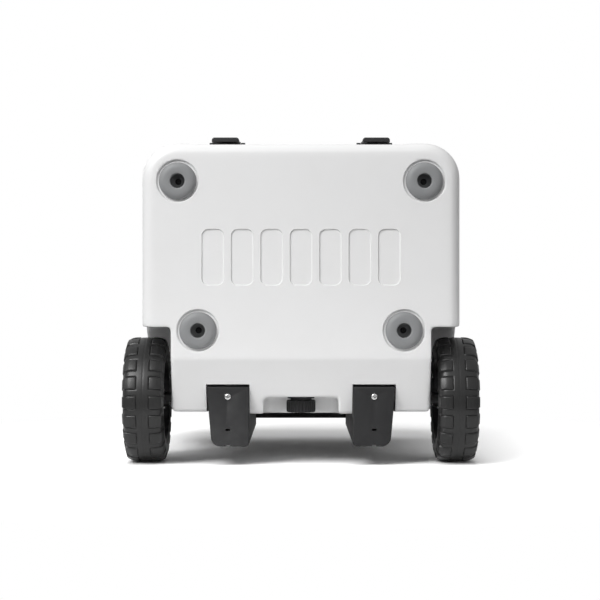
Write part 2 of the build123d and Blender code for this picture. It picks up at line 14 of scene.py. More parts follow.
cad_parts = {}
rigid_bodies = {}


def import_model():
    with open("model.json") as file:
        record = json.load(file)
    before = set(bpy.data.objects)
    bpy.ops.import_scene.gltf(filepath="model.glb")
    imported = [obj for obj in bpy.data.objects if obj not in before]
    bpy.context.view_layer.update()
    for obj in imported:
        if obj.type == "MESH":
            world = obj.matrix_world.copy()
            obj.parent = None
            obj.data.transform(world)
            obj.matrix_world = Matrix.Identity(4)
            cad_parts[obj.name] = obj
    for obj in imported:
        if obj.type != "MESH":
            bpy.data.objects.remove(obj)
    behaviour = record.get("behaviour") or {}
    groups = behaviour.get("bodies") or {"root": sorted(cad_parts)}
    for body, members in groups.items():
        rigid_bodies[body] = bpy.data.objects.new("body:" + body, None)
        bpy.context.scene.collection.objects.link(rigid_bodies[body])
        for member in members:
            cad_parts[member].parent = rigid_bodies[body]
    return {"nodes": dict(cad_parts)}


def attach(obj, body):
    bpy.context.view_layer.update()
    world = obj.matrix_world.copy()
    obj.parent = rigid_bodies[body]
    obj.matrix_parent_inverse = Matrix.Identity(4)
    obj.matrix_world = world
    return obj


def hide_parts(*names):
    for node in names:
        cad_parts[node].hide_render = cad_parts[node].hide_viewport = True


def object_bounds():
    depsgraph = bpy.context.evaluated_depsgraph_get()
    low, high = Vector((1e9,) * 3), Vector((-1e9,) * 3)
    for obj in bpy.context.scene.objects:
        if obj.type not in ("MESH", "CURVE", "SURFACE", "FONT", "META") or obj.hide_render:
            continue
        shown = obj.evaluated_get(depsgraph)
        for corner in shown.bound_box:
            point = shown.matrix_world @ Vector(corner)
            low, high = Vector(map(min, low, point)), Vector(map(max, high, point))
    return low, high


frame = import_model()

MM = 0.001
cad_low, cad_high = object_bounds()

# %% [markdown]
# ## Camera
# The cooler is shown from straight below, as it looks when it lies on its back and turns its
# underside to the viewer. The camera sits under the feet, looks up along +Z, and has the front of the
# cooler at the top of the picture. A long lens keeps the sides almost hidden.

# %% Camera under the feet
camera_data = bpy.data.cameras.new("camera")
camera_data.sensor_width = 36.0
camera_data.lens = 100.5
camera_data.clip_end = 50.0
camera = bpy.data.objects.new("camera", camera_data)
camera.location = (-0.0014, 0.0144, -2.3)
camera.rotation_euler = (math.pi, 0, 0)
bpy.context.scene.collection.objects.link(camera)
bpy.context.scene.camera = camera
print("camera at", tuple(camera.location))

# %% [markdown]
# ## Light
# A white room gives light from all round, and one large soft lamp above the front left corner shapes
# the edges. A second lamp lights the floors alone, so that they turn white while the shadow stays, and
# a third does the same from above for the floor under the feet. The world looks pure white to the
# camera but lights the object less than that.

# %% World and lamp
world = bpy.data.worlds.new("studio")
world.use_nodes = True
bpy.context.scene.world = world
sky = world.node_tree
sky.nodes.clear()
seen = sky.nodes.new("ShaderNodeBackground")
seen.inputs["Strength"].default_value = 1.0
seen.inputs["Color"].default_value = (1, 1, 1, 1)
lit = sky.nodes.new("ShaderNodeBackground")
lit.inputs["Strength"].default_value = 0.6
lit.inputs["Color"].default_value = (1, 1, 1, 1)
rays = sky.nodes.new("ShaderNodeLightPath")
either = sky.nodes.new("ShaderNodeMixShader")
room = sky.nodes.new("ShaderNodeOutputWorld")
sky.links.new(rays.outputs["Is Camera Ray"], either.inputs["Fac"])
sky.links.new(lit.outputs[0], either.inputs[1])
sky.links.new(seen.outputs[0], either.inputs[2])
sky.links.new(either.outputs[0], room.inputs["Surface"])


def soft_lamp(name, place, target, size, power):
    lamp_data = bpy.data.lights.new(name, "AREA")
    lamp_data.shape = "DISK"
    lamp_data.size = size
    lamp_data.energy = power
    lamp = bpy.data.objects.new(name, lamp_data)
    lamp.location = place
    aim = Vector(target) - Vector(place)
    lamp.rotation_euler = aim.to_track_quat("-Z", "Y").to_euler()
    bpy.context.scene.collection.objects.link(lamp)
    return lamp


soft_lamp("key", (-1.45, -1.9, -1.75), (0, 0, 0.1), 1.5, 71)
upright_lamp = soft_lamp("upright_lamp", (-0.9, -0.9, 2.2), (0, 0, 0), 1.6, 34)
floor_lamp = soft_lamp("floor_lamp", (-0.15, -2.6, -0.75), (0, 0.2, 0.2), 1.6, 73)
bpy.context.scene.view_settings.view_transform = "Standard"
bpy.context.scene.view_settings.look = "None"

# %% [markdown]
# ## Shared finishes
# Moulded plastic, rubber and metal all need some unevenness: a fine grain, rubbed edges and a little
# dust. Each effect is a small node group with named sockets, so that every material can use it with
# its own values. A group gives out masks and heights only. The shader stays in the material.

# %% Helper for node groups
def node_group(name, inputs, outputs):
    group = bpy.data.node_groups.new(name, "ShaderNodeTree")
    for label, value in inputs.items():
        socket = group.interface.new_socket(label, in_out="INPUT", socket_type="NodeSocketFloat")
        socket.default_value = value
    for label in outputs:
        group.interface.new_socket(label, in_out="OUTPUT", socket_type="NodeSocketFloat")
    return group, group.nodes.new("NodeGroupInput"), group.nodes.new("NodeGroupOutput")


def math_node(tree, operation, first, second):
    node = tree.nodes.new("ShaderNodeMath")
    node.operation = operation
    for slot_number, value in enumerate((first, second)):
        if isinstance(value, (int, float)):
            node.inputs[slot_number].default_value = value
        else:
            tree.links.new(value, node.inputs[slot_number])
    return node.outputs[0]


def noise(tree, scale, detail, source):
    texture = tree.nodes.new("ShaderNodeTexNoise")
    texture.inputs["Detail"].default_value = detail
    tree.links.new(source, texture.inputs["Vector"])
    if isinstance(scale, (int, float)):
        texture.inputs["Scale"].default_value = scale
    else:
        tree.links.new(scale, texture.inputs["Scale"])
    return texture.outputs["Fac"]


print("helpers ready")

# %% [markdown]
# ### Moulded grain
# Tumbled moulds leave a fine orange-peel skin with slow waves under it. Two noises at different sizes
# added together give both.

# %% Moulded grain group
grain_group, grain_in, grain_out = node_group(
    "moulded_grain", {"Grain Size": 900.0, "Wave Size": 18.0, "Wave Share": 0.4}, ["Height", "Mottle"]
)
grain_place = grain_group.nodes.new("ShaderNodeTexCoord").outputs["Object"]
fine = noise(grain_group, grain_in.outputs["Grain Size"], 3, grain_place)
waves = noise(grain_group, grain_in.outputs["Wave Size"], 2, grain_place)
share = math_node(grain_group, "MULTIPLY", waves, grain_in.outputs["Wave Share"])
grain_group.links.new(math_node(grain_group, "ADD", fine, share), grain_out.inputs["Height"])
grain_group.links.new(waves, grain_out.inputs["Mottle"])
print("made", grain_group.name)

# %% [markdown]
# ### Rubbed edges
# Corners that stand out get polished and pale. Pointiness tells how convex the surface is, a ramp
# keeps the sharpest part, and a noise breaks the line so that it doesn't look drawn.

# %% Rubbed edge group
edge_group, edge_in, edge_out = node_group(
    "rubbed_edges", {"Start": 0.52, "End": 0.6, "Break Size": 60.0}, ["Mask"]
)
edge_place = edge_group.nodes.new("ShaderNodeTexCoord").outputs["Object"]
bend = edge_group.nodes.new("ShaderNodeNewGeometry").outputs["Pointiness"]
ramp = edge_group.nodes.new("ShaderNodeMapRange")
edge_group.links.new(bend, ramp.inputs["Value"])
edge_group.links.new(edge_in.outputs["Start"], ramp.inputs["From Min"])
edge_group.links.new(edge_in.outputs["End"], ramp.inputs["From Max"])
broken = noise(edge_group, edge_in.outputs["Break Size"], 4, edge_place)
edge_group.links.new(math_node(edge_group, "MULTIPLY", ramp.outputs[0], broken), edge_out.inputs["Mask"])
print("made", edge_group.name)

# %% [markdown]
# ### Settled dust
# Dust shows as soft patches, so a coarse noise is cut at a level and softened.

# %% Dust group
dust_group, dust_in, dust_out = node_group(
    "settled_dust", {"Patch Size": 12.0, "Level": 0.5, "Softness": 0.25}, ["Mask"]
)
dust_place = dust_group.nodes.new("ShaderNodeTexCoord").outputs["Object"]
patches = noise(dust_group, dust_in.outputs["Patch Size"], 6, dust_place)
top_of_range = math_node(dust_group, "ADD", dust_in.outputs["Level"], dust_in.outputs["Softness"])
cut_off = dust_group.nodes.new("ShaderNodeMapRange")
dust_group.links.new(patches, cut_off.inputs["Value"])
dust_group.links.new(dust_in.outputs["Level"], cut_off.inputs["From Min"])
dust_group.links.new(top_of_range, cut_off.inputs["From Max"])
dust_group.links.new(cut_off.outputs[0], dust_out.inputs["Mask"])
print("made", dust_group.name)

# %% [markdown]
# ### One recipe for every finish
# Each material mixes its own colour with a slightly different one by the mottle, then with a rubbed
# colour at the edges and a dusty one in patches. The same masks move the roughness, and the grain
# drives a Bump node.

# %% Finish recipe
def place_group(tree, group, **values):
    node = tree.nodes.new("ShaderNodeGroup")
    node.node_tree = group
    for label, value in values.items():
        node.inputs[label.replace("_", " ")].default_value = value
    return node


def mix_colour(tree, mask, amount, first, second):
    share_of = math_node(tree, "MULTIPLY", mask, amount)
    mix = tree.nodes.new("ShaderNodeMix")
    mix.data_type = "RGBA"
    tree.links.new(share_of, mix.inputs[0])
    if isinstance(first, tuple):
        mix.inputs[6].default_value = (*first, 1)
    else:
        tree.links.new(first, mix.inputs[6])
    mix.inputs[7].default_value = (*second, 1)
    return mix.outputs[2]


def finish(
    name, colour, rough, tint, worn, dusty, grain=900.0, depth=0.02, wave=0.4,
    mottle=0.5, wear=0.3, dust=0.2, metal=0.0, coat=0.0, swing=0.12, shine=0.5,
):
    material = bpy.data.materials.new(name)
    material.use_nodes = True
    tree = material.node_tree
    shader = tree.nodes["Principled BSDF"]
    shader.inputs["Metallic"].default_value = metal
    shader.inputs["Coat Weight"].default_value = coat
    shader.inputs["Specular IOR Level"].default_value = shine
    skin = place_group(tree, grain_group, Grain_Size=grain, Wave_Share=wave)
    edges = place_group(tree, edge_group)
    film = place_group(tree, dust_group)
    shade = mix_colour(tree, skin.outputs["Mottle"], mottle, colour, tint)
    shade = mix_colour(tree, edges.outputs["Mask"], wear, shade, worn)
    shade = mix_colour(tree, film.outputs["Mask"], dust, shade, dusty)
    tree.links.new(shade, shader.inputs["Base Color"])
    swing_by = math_node(tree, "MULTIPLY", skin.outputs["Mottle"], swing)
    tree.links.new(math_node(tree, "ADD", swing_by, rough - swing / 2), shader.inputs["Roughness"])
    bump = tree.nodes.new("ShaderNodeBump")
    bump.inputs["Strength"].default_value = 1.0
    bump.inputs["Distance"].default_value = depth * MM
    tree.links.new(skin.outputs["Height"], bump.inputs["Height"])
    tree.links.new(bump.outputs[0], shader.inputs["Normal"])
    return material


print("finish() is ready")

# %% [markdown]
# ## The finishes
# White moulded skin, charcoal plastic, black tyre rubber, grey foot rubber, bright screws, brushed
# steel, satin tubes, pale foam and nylon.

# %% Plastics
shell_white = finish(
    "shell_white", (0.80, 0.80, 0.80), 0.42, (0.76, 0.76, 0.765), (0.86, 0.86, 0.86), (0.70, 0.69, 0.67),
    grain=700.0, depth=0.05, wear=0.25, dust=0.12,
)
charcoal = finish(
    "charcoal_plastic", (0.016, 0.016, 0.017), 0.5, (0.021, 0.021, 0.022), (0.08, 0.08, 0.081),
    (0.08, 0.078, 0.075), grain=1400.0, depth=0.05, wear=0.5, dust=0.05, shine=0.32,
)
rim_black = finish(
    "rim_black", (0.012, 0.012, 0.013), 0.42, (0.018, 0.018, 0.019), (0.07, 0.07, 0.07),
    (0.08, 0.078, 0.075), grain=1200.0, depth=0.03, wear=0.5, dust=0.08, shine=0.4,
)
button_grey = finish(
    "button_grey", (0.20, 0.20, 0.21), 0.4, (0.24, 0.24, 0.25), (0.32, 0.32, 0.32), (0.3, 0.3, 0.29),
    grain=1500.0, depth=0.02,
)
nylon = finish(
    "nylon", (0.66, 0.66, 0.63), 0.35, (0.7, 0.7, 0.67), (0.74, 0.74, 0.72), (0.5, 0.49, 0.46), depth=0.01
)
foam_yellow = finish(
    "foam", (0.80, 0.70, 0.42), 0.8, (0.72, 0.6, 0.34), (0.84, 0.76, 0.5), (0.6, 0.55, 0.4),
    grain=400.0, depth=0.3,
)
print("plastics made")

# %% Rubbers
tyre_rubber = finish(
    "tyre_rubber", (0.011, 0.011, 0.011), 0.38, (0.018, 0.018, 0.018), (0.06, 0.06, 0.061),
    (0.06, 0.058, 0.056), grain=1100.0, depth=0.04, wear=0.3, dust=0.06,
)
foot_rubber = finish(
    "foot_rubber", (0.23, 0.235, 0.24), 0.55, (0.27, 0.275, 0.28), (0.40, 0.40, 0.40), (0.36, 0.35, 0.34),
    grain=1300.0, depth=0.04, wear=0.35, dust=0.15,
)
gasket_rubber = finish(
    "gasket_rubber", (0.035, 0.035, 0.037), 0.6, (0.05, 0.05, 0.052), (0.1, 0.1, 0.1), (0.2, 0.2, 0.19),
    grain=1500.0, depth=0.03,
)
print("rubbers made")

# %% Metals
steel = finish(
    "steel", (0.52, 0.52, 0.53), 0.32, (0.44, 0.44, 0.45), (0.68, 0.68, 0.68), (0.3, 0.29, 0.28),
    grain=1800.0, depth=0.01, metal=1.0,
)
screw_steel = finish(
    "screw_steel", (0.74, 0.74, 0.74), 0.25, (0.66, 0.66, 0.66), (0.85, 0.85, 0.85), (0.4, 0.4, 0.39),
    grain=1800.0, depth=0.01, metal=1.0,
)
tube_metal = finish(
    "tube_aluminium", (0.58, 0.59, 0.61), 0.34, (0.5, 0.51, 0.53), (0.72, 0.72, 0.74), (0.35, 0.35, 0.34),
    grain=2200.0, depth=0.01, metal=1.0,
)
print("metals made")

# %% [markdown]
# ## Stage
# In this pose the floor is behind the cooler's back, touching the two tyres. A second floor lies under
# the feet for views of the cooler standing up. Each one shows only its upper face: from the other
# side it lets light and sight through, so neither hides the cooler. Away from the cooler each floor
# fades into plain white, so that no horizon shows. A twin of the back floor, out of sight, throws light
# back onto the cooler, so that the lamp of the floors does not brighten the cooler too.

# %% Floors
floor_finish = bpy.data.materials.new("pale_floor")
floor_finish.use_nodes = True
floor_tree = floor_finish.node_tree
paint = floor_tree.nodes["Principled BSDF"]
paint.inputs["Roughness"].default_value = 0.9
paint.inputs["Specular IOR Level"].default_value = 0.0
floor_place = floor_tree.nodes.new("ShaderNodeTexCoord").outputs["Object"]
floor_cloud = noise(floor_tree, 1.5, 2, floor_place)
floor_shade = mix_colour(floor_tree, floor_cloud, 0.3, (0.97, 0.97, 0.97), (0.94, 0.94, 0.94))
floor_tree.links.new(floor_shade, paint.inputs["Base Color"])
white_out = floor_tree.nodes.new("ShaderNodeEmission")
floor_rays = floor_tree.nodes.new("ShaderNodeLightPath")
floor_tree.links.new(floor_rays.outputs["Is Camera Ray"], white_out.inputs["Strength"])
away = floor_tree.nodes.new("ShaderNodeVectorMath")
away.operation = "LENGTH"
floor_tree.links.new(floor_place, away.inputs[0])
fade = floor_tree.nodes.new("ShaderNodeMapRange")
fade.interpolation_type = "SMOOTHSTEP"
fade.inputs["From Min"].default_value = 0.42
fade.inputs["From Max"].default_value = 0.85
floor_tree.links.new(away.outputs["Value"], fade.inputs["Value"])
fading = floor_tree.nodes.new("ShaderNodeMixShader")
floor_tree.links.new(fade.outputs[0], fading.inputs["Fac"])
floor_tree.links.new(paint.outputs[0], fading.inputs[1])
floor_tree.links.new(white_out.outputs[0], fading.inputs[2])
clear = floor_tree.nodes.new("ShaderNodeBsdfTransparent")
facing = floor_tree.nodes.new("ShaderNodeNewGeometry")
choose = floor_tree.nodes.new("ShaderNodeMixShader")
floor_tree.links.new(facing.outputs["Backfacing"], choose.inputs["Fac"])
floor_tree.links.new(fading.outputs[0], choose.inputs[1])
floor_tree.links.new(clear.outputs[0], choose.inputs[2])
floor_tree.links.new(choose.outputs[0], floor_tree.nodes["Material Output"].inputs["Surface"])


def floor(name, turn, place):
    mesh = bpy.data.meshes.new(name)
    half = 8.0
    corners = [(-half, -half, 0), (half, -half, 0), (half, half, 0), (-half, half, 0)]
    mesh.from_pydata(corners, [], [(0, 1, 2, 3)])
    mesh.materials.append(floor_finish)
    plane = bpy.data.objects.new(name, mesh)
    plane.rotation_euler = turn
    plane.location = place
    plane.visible_shadow = False
    bpy.context.scene.collection.objects.link(plane)
    return plane


floors = bpy.data.collections.new("floors")
for plane in (
    floor("floor_at_back", (math.pi / 2, 0, 0), (0, cad_high.y + 0.0004, 0.22)),
    floor("floor_under_feet", (0, 0, 0), (0, 0, -0.0004)),
):
    plane.visible_diffuse = False
    plane.visible_glossy = False
floor("bounce_at_back", (math.pi / 2, 0, 0), (0, cad_high.y + 0.0008, 0.22)).visible_camera = False
for plane in bpy.data.objects:
    if plane.name.startswith("floor_") and plane.type == "MESH":
        floors.objects.link(plane)
floor_lamp.light_linking.receiver_collection = floors
upright_floor = bpy.data.collections.new("upright_floor")
upright_floor.objects.link(bpy.data.objects["floor_under_feet"])
upright_lamp.light_linking.receiver_collection = upright_floor
print("floors placed")

# %% [markdown]
# ## Helpers for pieces
# A piece is a mesh in the cooler's own coordinates. It gets a finish, rides on a body, and says which
# CAD nodes it stands for.

# %% Placing a piece
def add_piece(name, mesh, material, body, nodes, sharp=35):
    mesh.materials.clear()
    mesh.materials.append(material)
    for face in mesh.polygons:
        face.use_smooth = True
    mesh.set_sharp_from_angle(angle=math.radians(sharp))
    piece = bpy.data.objects.new(name, mesh)
    bpy.context.scene.collection.objects.link(piece)
    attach(piece, body)
    if nodes:
        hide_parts(*nodes)
    return piece


def mesh_from(bm, name):
    bmesh.ops.recalc_face_normals(bm, faces=bm.faces)
    mesh = bpy.data.meshes.new(name)
    bm.to_mesh(mesh)
    bm.free()
    return mesh


print("add_piece() is ready")

# %% [markdown]
# ### Rings and skins
# The moulded body, the lid and the cavity all have a rounded-rectangle outline that changes with
# height. A ring of points is made for each height, and a skin joins one ring to the next.

# %% Rings and skins
def ring_points(half, front, back, corner, z, steps=14):
    points = []
    centres = (
        (half - corner, front + corner, -90),
        (half - corner, back - corner, 0),
        (-half + corner, back - corner, 90),
        (-half + corner, front + corner, 180),
    )
    for x, y, start in centres:
        for step in range(steps + 1):
            angle = math.radians(start + 90 * step / steps)
            points.append((x + corner * math.cos(angle), y + corner * math.sin(angle), z))
    return [Vector(p) * MM for p in points]


def skin(rings, name):
    bm = bmesh.new()
    loops = [[bm.verts.new(p) for p in ring] for ring in rings]
    count = len(loops[0])
    for low, high in zip(loops, loops[1:]):
        for i in range(count):
            j = (i + 1) % count
            bm.faces.new((low[i], low[j], high[j], high[i]))
    bm.faces.new(loops[0][::-1])
    bm.faces.new(loops[-1])
    return mesh_from(bm, name)


def between(low, high, share):
    return [a + (b - a) * share for a, b in zip(low, high)]


print("skin() is ready")

# %% [markdown]
# ## Body
# The real body is one hollow moulding with soft corners everywhere, because the plastic tumbles in a hot
# mould. It could be bevelled edge by edge, but its wells and channels meet in corners that bevels
# can't follow. So it is cut from simple forms first, then remeshed in small even squares and smoothed,
# which rounds every edge as the mould does.

# %% Body outline
BODY_LOW = (219.0, -201.3, 169.0)
BODY_HIGH = (236.0, -229.0, 188.0)
BODY_BOTTOM, BODY_TOP = 5.0, 440.0
BODY_CORNER = 48.0
BOTTOM_EDGE = 15.0
SLOPE_START, SLOPE_RISE, SLOPE_RUN = 95.5, 35.0, 75.0
AXLE_Y, AXLE_Z = 155.8, 92.0



def body_limits(z):
    """Half width, front and back of the drafted body at height z."""
    return between(BODY_LOW, BODY_HIGH, (z - BODY_BOTTOM) / (BODY_TOP - BODY_BOTTOM))


body_rings = []
for step in range(7):
    angle = math.pi / 2 * step / 6
    z = BODY_BOTTOM + BOTTOM_EDGE * (1 - math.cos(angle))
    inset = BOTTOM_EDGE * (1 - math.sin(angle))
    half, front, back = body_limits(z)
    body_rings.append(ring_points(half - inset, front + inset, back - inset, BODY_CORNER - inset, z))
for z, out in ((403, 0), (409, 4), (436.5, 4), (439, 3), (440, 1)):
    half, front, back = BODY_HIGH if out else body_limits(z)
    body_rings.append(ring_points(half + out, front - out, back + out, BODY_CORNER + out, z))
body_form = skin(body_rings, "body_form")
print("outline rings:", len(body_rings))

# %% [markdown]
# ### Tools that cut the body
# Each hollow is the shape of a tool: a box, a drum for the wheel wells, a wedge for the rising back
# of the underside. The tools are kept in one collection and a Boolean modifier takes them all away
# at once.

# %% Cutting tools
def cutters(name):
    return bpy.data.collections.new(name)


def add_cutter(group, mesh):
    tool = bpy.data.objects.new(group.name + "_tool", mesh)
    group.objects.link(tool)
    return tool


def both_ways(x):
    """A span of x and its mirror image."""
    return (x, (-x[1], -x[0]))


def block(x, y, z):
    bm = bmesh.new()
    corners = [bm.verts.new((i * MM, j * MM, k * MM)) for i in x for j in y for k in z]
    for face in ((0, 1, 3, 2), (4, 6, 7, 5), (0, 4, 5, 1), (2, 3, 7, 6), (0, 2, 6, 4), (1, 5, 7, 3)):
        bm.faces.new([corners[i] for i in face])
    return mesh_from(bm, "block")


def prism(points, axis, start, end):
    """A solid with the given flat outline, drawn out along one axis."""
    order = {"X": (2, 0, 1), "Y": (0, 2, 1), "Z": (0, 1, 2)}[axis]
    bm = bmesh.new()
    loops = []
    for along in (start, end):
        loop = []
        for u, v in points:
            place = [u, v, along]
            loop.append(bm.verts.new([place[i] * MM for i in order]))
        loops.append(loop)
    count = len(points)
    for i in range(count):
        j = (i + 1) % count
        bm.faces.new((loops[0][i], loops[0][j], loops[1][j], loops[1][i]))
    bm.faces.new(loops[0][::-1])
    bm.faces.new(loops[1])
    return mesh_from(bm, "prism")


def rounded(x, y, corner, steps=10):
    """A rounded rectangle outline from its low and high limits."""
    points = []
    for cx, cy, start in (
        (x[1] - corner, y[0] + corner, -90),
        (x[1] - corner, y[1] - corner, 0),
        (x[0] + corner, y[1] - corner, 90),
        (x[0] + corner, y[0] + corner, 180),
    ):
        for step in range(steps + 1):
            angle = math.radians(start + 90 * step / steps)
            points.append((cx + corner * math.cos(angle), cy + corner * math.sin(angle)))
    return points


def circle(radius, cx, cy, steps=64):
    turn = 2 * math.pi / steps
    return [(cx + radius * math.cos(turn * i), cy + radius * math.sin(turn * i)) for i in range(steps)]


def cut(form, group, solver="EXACT"):
    """The mesh of form with every tool of the collection taken away."""
    body = bpy.data.objects.new("cut_form", form)
    bpy.context.scene.collection.objects.link(body)
    bpy.context.scene.collection.children.link(group)
    away = body.modifiers.new("away", "BOOLEAN")
    away.operation = "DIFFERENCE"
    away.operand_type = "COLLECTION"
    away.collection = group
    away.solver = solver
    mesh = settled(body)
    for tool in list(group.objects):
        bpy.data.objects.remove(tool)
    bpy.data.collections.remove(group)
    return mesh


def settled(piece):
    """The mesh of a helper object with its modifiers applied. The helper is removed."""
    view_layer = bpy.context.evaluated_depsgraph_get()
    mesh = bpy.data.meshes.new_from_object(piece.evaluated_get(view_layer))
    bpy.data.objects.remove(piece)
    return mesh


def united(form, more):
    """The two meshes as one solid."""
    body, other = (bpy.data.objects.new("part_form", mesh) for mesh in (form, more))
    bpy.context.scene.collection.objects.link(body)
    bpy.context.scene.collection.objects.link(other)
    union = body.modifiers.new("union", "BOOLEAN")
    union.operation = "UNION"
    union.object = other
    union.solver = "EXACT"
    mesh = settled(body)
    bpy.data.objects.remove(other)
    return mesh


def softened(form, voxel, rounds):
    """The mesh remade in small even squares and smoothed, so that every edge is rounded."""
    body = bpy.data.objects.new("soft_form", form)
    bpy.context.scene.collection.objects.link(body)
    even = body.modifiers.new("even", "REMESH")
    even.mode = "VOXEL"
    even.voxel_size = voxel * MM
    even.use_smooth_shade = True
    ease = body.modifiers.new("ease", "SMOOTH")
    ease.factor = 0.5
    ease.iterations = rounds
    return settled(body)


print("cutting helpers ready")

# %% [markdown]
# ### Cavity
# The liner leaves two steps at the back, where the wheel wells push into the cavity.

# %% Cavity tool
CAVITY_LOW = (178.0, -158.0, 108.0)
CAVITY_HIGH = (194.0, -187.0, 128.0)
CAVITY_FLOOR, CAVITY_EDGE, CAVITY_CORNER = 52.0, 16.0, 34.0
cavity_rings = []
for step in range(6):
    angle = math.pi / 2 * step / 5
    z = CAVITY_FLOOR + CAVITY_EDGE * (1 - math.cos(angle))
    inset = CAVITY_EDGE * (1 - math.sin(angle))
    half, front, back = between(CAVITY_LOW, CAVITY_HIGH, (z - CAVITY_FLOOR) / (441 - CAVITY_FLOOR))
    cavity_rings.append(ring_points(half - inset, front + inset, back - inset, CAVITY_CORNER - inset, z))
for z in (441.0, 460.0):
    cavity_rings.append(ring_points(*CAVITY_HIGH, CAVITY_CORNER, z))
bumps = cutters("bumps")
for x in both_ways((141, 320)):
    add_cutter(bumps, block(x, (12, 320), (0, 236)))
cavity_form = cut(skin(cavity_rings, "cavity"), bumps)
print("cavity faces:", len(cavity_form.polygons))

# %% [markdown]
# ### Outside hollows
# In order: the wheel wells, the drain recess, the finger room behind the handle, the hand hold at the
# front, the wedge of the underside and the sunk front panel. The back also stands out a little between
# the rails, and that strip is joined to the body before anything is cut away.

# %% Outer tools
WELL_X, WELL_RADIUS = 179.5, 104.0
PANEL_HALF, PANEL_DEEP, PANEL_TOP = 142, 1.3, 352
SPINE_HALF, SPINE_OUT, SPINE_TOP = 74, 2.8, 392
BEYOND = 320.0  # a tool that reaches this far passes right out of the body


def wheel_well_outline():
    """Front wall, arch over the tyre and level roof of a wheel well, in Y and Z."""
    points = [(AXLE_Y - WELL_RADIUS, -20.0)]
    for step in range(25):
        angle = math.radians(180 - 90 * step / 24)
        points.append((AXLE_Y + WELL_RADIUS * math.cos(angle), AXLE_Z + WELL_RADIUS * math.sin(angle)))
    return points + [(BEYOND, AXLE_Z + WELL_RADIUS), (BEYOND, -20.0)]


outer = cutters("outer")
add_cutter(outer, cavity_form)
for x in both_ways((WELL_X, BEYOND)):
    add_cutter(outer, prism(wheel_well_outline(), "X", *x))
add_cutter(outer, prism(rounded((-52, 52), (-40, 88), 12), "Y", 149.5, BEYOND))
add_cutter(outer, block((-80, 80), (172, BEYOND + 0.5), (SPINE_TOP, 460.5)))
add_cutter(outer, prism(rounded((-62, 62), (362, 398), 12), "Y", -BEYOND, -206))
far = 3 * SLOPE_RUN
slope = [
    (SLOPE_START, BODY_BOTTOM), (SLOPE_START + far, BODY_BOTTOM + 3 * SLOPE_RISE),
    (SLOPE_START + far, -60), (SLOPE_START - 40, -60), (SLOPE_START - 40, BODY_BOTTOM - 0.01),
]
add_cutter(outer, prism(slope, "X", -300, 300))
sunk = [body_limits(z)[1] + PANEL_DEEP for z in (-10, PANEL_TOP)]
panel = [(-BEYOND, -10), (sunk[0], -10), (sunk[1], PANEL_TOP), (-BEYOND, PANEL_TOP)]
add_cutter(outer, prism(panel, "X", -PANEL_HALF, PANEL_HALF))
back = [body_limits(z)[2] + SPINE_OUT for z in (20, SPINE_TOP)]
strip = [(150, 20), (back[0], 20), (back[1], SPINE_TOP), (150, SPINE_TOP)]
spine = prism(strip, "X", -SPINE_HALF, SPINE_HALF)
rough_body = cut(united(body_form, spine), outer)
print("body before rounding:", len(rough_body.polygons), "faces")

# %% [markdown]
# ### Round the edges, then press the shallow marks
# The seats of the feet, the row of shallow pockets, the rail channels and the hinge seats have crisper
# edges than the rest, so they are cut after the rounding. The walls of the seats and pockets lean out a
# little, as a mould needs to let go.

# %% Rounded body
FOOT_SPOTS = [(side * x, y) for x, y in ((170.0, -149.5), (142.0, 56.5)) for side in (1, -1)]
RAIL_SPAN, HINGE_SPAN = (71.5, 131.7), (140.6, 185.4)
KEEPER_SPAN, BRACKET_SPAN = (101.4, 141.4), (91.7, 151.1)
HINGE_SEAT_Y = 186
POCKETS, POCKET_PITCH, POCKET_HALF, POCKET_CORNER = 7, 40.5, 15, 9
POCKET_Y = (-83.1, -6.1)
SQUARE = 2.8  # side of the even squares that the moulded skins are remade in
soft_body = softened(rough_body, SQUARE, 5)
marks = cutters("marks")


def leaning(outline_at, low, high, lean):
    """A tool whose walls lean outwards towards the underside."""
    rings = []
    for z, grow in ((low - 2, lean), (low, lean), (low + 0.8, lean * 0.35), (high - 0.5, 0.0), (high, -0.5)):
        rings.append([Vector((x, y, z)) * MM for x, y in outline_at(grow)])
    return skin(rings, "leaning")


for cx, cy in FOOT_SPOTS:
    add_cutter(marks, leaning(lambda grow, a=cx, b=cy: circle(28.4 + grow, a, b), BODY_BOTTOM, 8.0, 1.6))
    add_cutter(marks, prism(circle(12.8, cx, cy), "Z", -5, 27.3))
for x in both_ways(RAIL_SPAN):
    add_cutter(marks, block(x, (159.5, BEYOND), (-20, 460)))
    add_cutter(marks, block(x, (131.3, BEYOND), (-20.5, 61)))
for x in both_ways(HINGE_SPAN):
    add_cutter(marks, block(x, (HINGE_SEAT_Y, 220), (396, 441)))
for x in both_ways(KEEPER_SPAN):
    add_cutter(marks, block(x, (-260, -229), (398, 414)))
for i in range(POCKETS):
    def pocket(grow, middle=(i - POCKETS // 2) * POCKET_PITCH):
        half = POCKET_HALF + grow
        across = (POCKET_Y[0] - grow, POCKET_Y[1] + grow)
        return rounded((middle - half, middle + half), across, POCKET_CORNER + grow)

    add_cutter(marks, leaning(pocket, BODY_BOTTOM, 7.0, 0.5))
body_mesh = cut(soft_body, marks)
body_mesh.name = "body_skin"
add_piece("body_skin", body_mesh, shell_white, "cooler_body", ["body_shell"], sharp=40)
print("body faces:", len(body_mesh.polygons))

# %% [markdown]
# ## Lid
# The lid is the same kind of moulding: a deep cap with a plug that fits the cavity and a shallow
# sunk panel on top.

# %% Lid
LID_LOW = (240.0, -234.0, 192.0)
LID_HIGH = (233.0, -226.0, 188.5)
LID_BOTTOM, LID_TOP, LID_CORNER, LID_EDGE = 443.0, 528.0, 52.0, 16.0
PLUG_LOW = (186.0, -180.0, 120.0)
PLUG_HIGH = (188.5, -182.0, 122.5)
PLUG_BOTTOM, PLUG_REACH, PLUG_CORNER = 418.0, 33.0, 30.0


